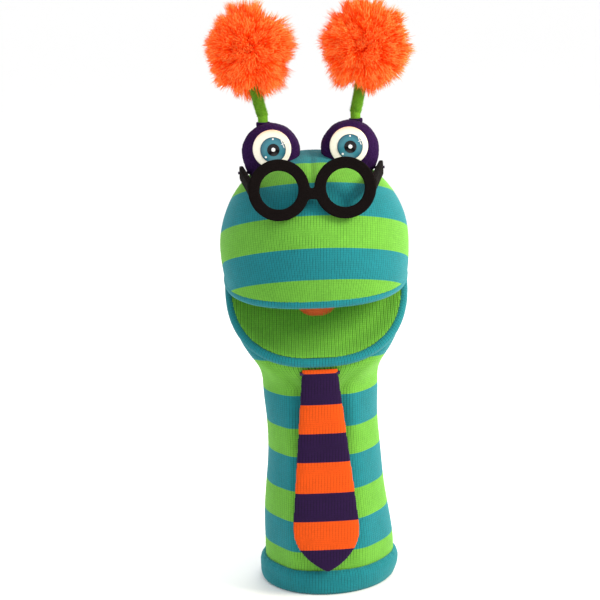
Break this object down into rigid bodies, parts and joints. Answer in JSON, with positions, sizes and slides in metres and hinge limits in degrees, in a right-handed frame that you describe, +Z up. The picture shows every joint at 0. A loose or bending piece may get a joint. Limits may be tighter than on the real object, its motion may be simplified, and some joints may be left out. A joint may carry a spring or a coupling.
{
  "type": "sock puppet",
  "caption": "Striped knitted hand puppet with a hinged mouth, raised eyes, round glasses, pom-pom antennae and a hanging tie.",
  "frame": {"origin": "centre of the arm opening in the plane of the hem, on the surface the puppet stands on", "axes": "+Z up the sleeve to the head, -Y the way the face looks, +X to the puppet's left (the viewer's right)"},
  "size_m": [0.137, 0.1185, 0.396],
  "materials": {
    "knit": "matte ribbed knit in lime and teal stripes",
    "knit_trim": "matte lime knit",
    "knit_teal": "matte teal knit",
    "fleece": "brushed purple fleece",
    "foam": "open-cell foam",
    "board": "flexible white sheet",
    "white_plastic": "moulded",
    "eye_white": "gloss",
    "iris_blue": "gloss",
    "pupil_black": "gloss",
    "felt_black": "flocked foam sheet",
    "stem_velvet": "short green pile",
    "wire": "drawn wire",
    "yarn_core": "wound yarn",
    "orange_fur": "long shaggy pile",
    "tie_knit": "double knit in orange and purple stripes",
    "tongue_knit": "matte",
    "thread": "matte"
  },
  "bodies": {
    "sleeve": {"sleeve": "knit", "hem_band": "knit", "neck_flare": "knit", "crease_tape": "knit_trim", "tie_stitches": "thread"},
    "head": {"head_cover": "knit", "head_foam": "foam", "upper_board": "board", "upper_palate": "knit_trim", "upper_lip": "knit_teal", "eye_pod_left": "fleece", "eye_pod_right": "fleece", "eye_foam_left": "foam", "eye_foam_right": "foam", "eye_washer_left": "white_plastic", "eye_washer_right": "white_plastic", "eye_disc_left": "eye_white", "eye_disc_right": "eye_white", "iris_left": "iris_blue", "iris_right": "iris_blue", "pupil_left": "pupil_black", "pupil_right": "pupil_black", "stem_collar_left": "fleece", "stem_collar_right": "fleece", "temple_stitches": "thread"},
    "jaw": {"jaw_cover": "knit_teal", "lower_board": "board", "lower_palate": "knit_trim", "lower_lip": "knit_teal", "tongue": "tongue_knit"},
    "glasses": {"glasses_front": "felt_black", "temple_left": "felt_black", "temple_right": "felt_black"},
    "antenna_root_left": {"stem_root_left": "stem_velvet"},
    "antenna_left": {"stem_cover_left": "stem_velvet", "stem_wire_left": "wire", "pom_core_left": "yarn_core", "pom_fur_left": "orange_fur"},
    "antenna_root_right": {"stem_root_right": "stem_velvet"},
    "antenna_right": {"stem_cover_right": "stem_velvet", "stem_wire_right": "wire", "pom_core_right": "yarn_core", "pom_fur_right": "orange_fur"},
    "tie": {"tie_blade": "tie_knit"}
  },
  "joints": [
    {"name": "head_tilt", "type": "hinge", "parent": "sleeve", "child": "head", "pos_m": [0, 0, 0.211], "axis": [-1, 0, 0], "range_deg": [-19, 22]},
    {"name": "jaw_open", "type": "hinge", "parent": "sleeve", "child": "jaw", "pos_m": [0, 0, 0.211], "axis": [1, 0, 0], "range_deg": [-21, 0]},
    {"name": "glasses_lift", "type": "hinge", "parent": "head", "child": "glasses", "pos_m": [0, -0.02, 0.287], "axis": [-1, 0, 0], "range_deg": [0, 15]},
    {"name": "tie_swing", "type": "hinge", "parent": "sleeve", "child": "tie", "pos_m": [0, -0.0433, 0.1545], "axis": [-1, 0, 0], "range_deg": [0, 60]},
    {"name": "antenna_sway_left", "type": "hinge", "parent": "head", "child": "antenna_root_left", "pos_m": [-0.0305, -0.014, 0.3232], "axis": [0, 1, 0], "range_deg": [-25, 10]},
    {"name": "antenna_lean_left", "type": "hinge", "parent": "antenna_root_left", "child": "antenna_left", "pos_m": [-0.0305, -0.014, 0.3232], "axis": [1, 0, 0], "range_deg": [-25, 25]},
    {"name": "antenna_sway_right", "type": "hinge", "parent": "head", "child": "antenna_root_right", "pos_m": [0.0305, -0.014, 0.3232], "axis": [0, 1, 0], "range_deg": [-10, 25]},
    {"name": "antenna_lean_right", "type": "hinge", "parent": "antenna_root_right", "child": "antenna_right", "pos_m": [0.0305, -0.014, 0.3232], "axis": [1, 0, 0], "range_deg": [-25, 25]}
  ]
}
